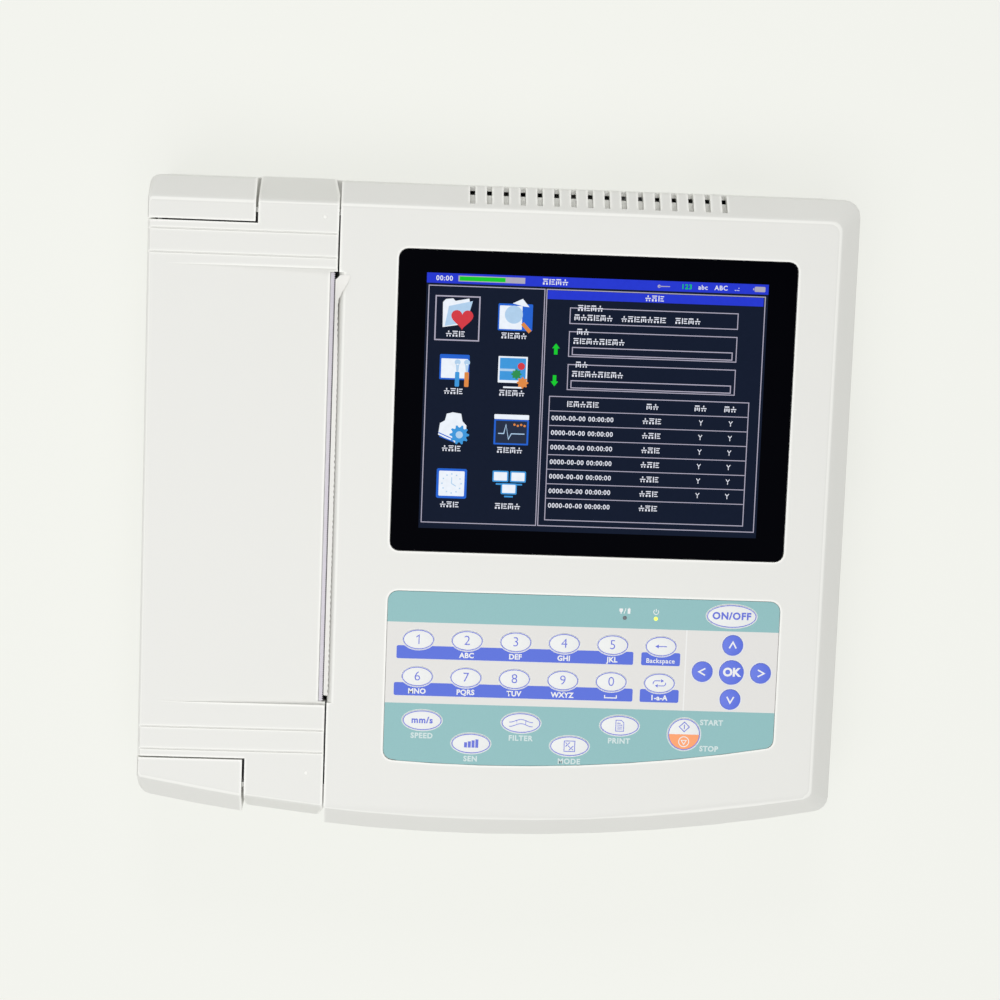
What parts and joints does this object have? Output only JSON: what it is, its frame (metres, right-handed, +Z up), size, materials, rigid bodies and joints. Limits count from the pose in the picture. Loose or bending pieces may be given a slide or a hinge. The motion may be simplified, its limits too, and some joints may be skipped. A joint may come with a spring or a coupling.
{
  "type": "ecg machine",
  "caption": "Tabletop ECG recorder: a flat case with a large display, a membrane keypad and a hinged printer door over a wide paper roll.",
  "frame": {"origin": "middle of the footprint, on the surface that the rubber feet stand on", "axes": "+X to the machine's right, from the printer to the display; +Y to its rear, away from the person who uses it; +Z up"},
  "size_m": [0.355, 0.3317, 0.0863],
  "materials": {
    "case": "fine-grained moulded off-white plastic",
    "inner_plastic": "moulded grey plastic",
    "black_glass": "polished, flush with the case",
    "display": "anti-glare display panel",
    "membrane": "printed matt membrane, teal and light grey",
    "key_white": "printed matt membrane",
    "key_blue": "printed matt membrane",
    "key_orange": "printed matt membrane",
    "steel": "plain machined steel",
    "brass": "plated brass",
    "rubber": "matt black rubber",
    "paper": "coated recording paper",
    "card": "plain card tube",
    "board": "solder-masked board",
    "black_plastic": "moulded black plastic",
    "gear_plastic": "natural gear plastic",
    "lamp_green": "lit lens",
    "lamp_clear": "unlit lens",
    "aluminium": "anodised aluminium"
  },
  "bodies": {
    "base": {"bottom_case": "case", "top_cover": "case", "door_pin_rear": "steel", "door_pin_front": "steel", "paper_bay": "inner_plastic", "paper_motor": "steel", "print_head": "aluminium", "head_bracket": "steel", "paper_web": "paper", "display_window": "black_glass", "display_module": "display", "keypad_overlay": "membrane", "keypad_board": "board", "mains_lamp": "lamp_clear", "power_lamp": "lamp_green", "foot_rear_left": "rubber", "foot_front_left": "rubber", "foot_rear_right": "rubber", "foot_front_right": "rubber", "battery_pack": "black_plastic", "battery_cover": "case", "mains_inlet": "black_plastic", "lead_socket": "black_plastic", "main_board": "board", "power_module": "aluminium", "ground_post": "brass", "data_port": "steel"},
    "door": {"printer_door": "case", "tear_bar": "steel"},
    "platen": {"platen_roller": "rubber", "platen_shaft": "steel", "platen_gear": "gear_plastic"},
    "pinion": {"motor_pinion": "gear_plastic"},
    "roll": {"paper_roll": "paper", "paper_core": "card"},
    "key_1_body": {"key_1": "key_white"},
    "key_2_body": {"key_2": "key_white"},
    "key_3_body": {"key_3": "key_white"},
    "key_4_body": {"key_4": "key_white"},
    "key_5_body": {"key_5": "key_white"},
    "key_erase_body": {"key_erase": "key_white"},
    "key_6_body": {"key_6": "key_white"},
    "key_7_body": {"key_7": "key_white"},
    "key_8_body": {"key_8": "key_white"},
    "key_9_body": {"key_9": "key_white"},
    "key_0_body": {"key_0": "key_white"},
    "key_cycle_body": {"key_cycle": "key_white"},
    "key_speed_body": {"key_speed": "key_white"},
    "key_gain_body": {"key_gain": "key_white"},
    "key_filter_body": {"key_filter": "key_white"},
    "key_mode_body": {"key_mode": "key_white"},
    "key_print_body": {"key_print": "key_white"},
    "key_up_body": {"key_up": "key_blue"},
    "key_down_body": {"key_down": "key_blue"},
    "key_left_body": {"key_left": "key_blue"},
    "key_right_body": {"key_right": "key_blue"},
    "key_select_body": {"key_select": "key_blue"},
    "key_power_body": {"key_power": "key_white"},
    "key_start_stop_body": {"key_start_stop": "key_orange"}
  },
  "joints": [
    {"name": "door_hinge", "type": "hinge", "parent": "base", "child": "door", "pos_m": [-0.1715, 0, 0.078], "axis": [0, -1, 0], "range_deg": [0, 85]},
    {"name": "platen_spin", "type": "hinge", "parent": "door", "child": "platen", "pos_m": [-0.0915, 0, 0.07], "axis": [0, 1, 0], "continuous": true},
    {"name": "pinion_spin", "type": "hinge", "parent": "base", "child": "pinion", "pos_m": [-0.0915, 0, 0.0588], "axis": [0, 1, 0], "continuous": true},
    {"name": "roll_spin", "type": "hinge", "parent": "base", "child": "roll", "pos_m": [-0.14, 0, 0.054], "axis": [0, 1, 0], "continuous": true},
    {"name": "key_1_press", "type": "slide", "parent": "base", "child": "key_1_body", "axis": [0, 0, -1], "range_m": [0, 0.0005], "stiffness_N_per_m": 600},
    {"name": "key_2_press", "type": "slide", "parent": "base", "child": "key_2_body", "axis": [0, 0, -1], "range_m": [0, 0.0005], "stiffness_N_per_m": 600},
    {"name": "key_3_press", "type": "slide", "parent": "base", "child": "key_3_body", "axis": [0, 0, -1], "range_m": [0, 0.0005], "stiffness_N_per_m": 600},
    {"name": "key_4_press", "type": "slide", "parent": "base", "child": "key_4_body", "axis": [0, 0, -1], "range_m": [0, 0.0005], "stiffness_N_per_m": 600},
    {"name": "key_5_press", "type": "slide", "parent": "base", "child": "key_5_body", "axis": [0, 0, -1], "range_m": [0, 0.0005], "stiffness_N_per_m": 600},
    {"name": "key_erase_press", "type": "slide", "parent": "base", "child": "key_erase_body", "axis": [0, 0, -1], "range_m": [0, 0.0005], "stiffness_N_per_m": 600},
    {"name": "key_6_press", "type": "slide", "parent": "base", "child": "key_6_body", "axis": [0, 0, -1], "range_m": [0, 0.0005], "stiffness_N_per_m": 600},
    {"name": "key_7_press", "type": "slide", "parent": "base", "child": "key_7_body", "axis": [0, 0, -1], "range_m": [0, 0.0005], "stiffness_N_per_m": 600},
    {"name": "key_8_press", "type": "slide", "parent": "base", "child": "key_8_body", "axis": [0, 0, -1], "range_m": [0, 0.0005], "stiffness_N_per_m": 600},
    {"name": "key_9_press", "type": "slide", "parent": "base", "child": "key_9_body", "axis": [0, 0, -1], "range_m": [0, 0.0005], "stiffness_N_per_m": 600},
    {"name": "key_0_press", "type": "slide", "parent": "base", "child": "key_0_body", "axis": [0, 0, -1], "range_m": [0, 0.0005], "stiffness_N_per_m": 600},
    {"name": "key_cycle_press", "type": "slide", "parent": "base", "child": "key_cycle_body", "axis": [0, 0, -1], "range_m": [0, 0.0005], "stiffness_N_per_m": 600},
    {"name": "key_speed_press", "type": "slide", "parent": "base", "child": "key_speed_body", "axis": [0, 0, -1], "range_m": [0, 0.0005], "stiffness_N_per_m": 600},
    {"name": "key_gain_press", "type": "slide", "parent": "base", "child": "key_gain_body", "axis": [0, 0, -1], "range_m": [0, 0.0005], "stiffness_N_per_m": 600},
    {"name": "key_filter_press", "type": "slide", "parent": "base", "child": "key_filter_body", "axis": [0, 0, -1], "range_m": [0, 0.0005], "stiffness_N_per_m": 600},
    {"name": "key_mode_press", "type": "slide", "parent": "base", "child": "key_mode_body", "axis": [0, 0, -1], "range_m": [0, 0.0005], "stiffness_N_per_m": 600},
    {"name": "key_print_press", "type": "slide", "parent": "base", "child": "key_print_body", "axis": [0, 0, -1], "range_m": [0, 0.0005], "stiffness_N_per_m": 600},
    {"name": "key_up_press", "type": "slide", "parent": "base", "child": "key_up_body", "axis": [0, 0, -1], "range_m": [0, 0.0005], "stiffness_N_per_m": 600},
    {"name": "key_down_press", "type": "slide", "parent": "base", "child": "key_down_body", "axis": [0, 0, -1], "range_m": [0, 0.0005], "stiffness_N_per_m": 600},
    {"name": "key_left_press", "type": "slide", "parent": "base", "child": "key_left_body", "axis": [0, 0, -1], "range_m": [0, 0.0005], "stiffness_N_per_m": 600},
    {"name": "key_right_press", "type": "slide", "parent": "base", "child": "key_right_body", "axis": [0, 0, -1], "range_m": [0, 0.0005], "stiffness_N_per_m": 600},
    {"name": "key_select_press", "type": "slide", "parent": "base", "child": "key_select_body", "axis": [0, 0, -1], "range_m": [0, 0.0005], "stiffness_N_per_m": 600},
    {"name": "key_power_press", "type": "slide", "parent": "base", "child": "key_power_body", "axis": [0, 0, -1], "range_m": [0, 0.0005], "stiffness_N_per_m": 600},
    {"name": "key_start_stop_press", "type": "slide", "parent": "base", "child": "key_start_stop_body", "axis": [0, 0, -1], "range_m": [0, 0.0005], "stiffness_N_per_m": 600}
  ],
  "couplings": [
    {"joint": "platen_spin", "follows": "roll_spin", "ratio": -3.4286},
    {"joint": "pinion_spin", "follows": "roll_spin", "ratio": 6}
  ]
}
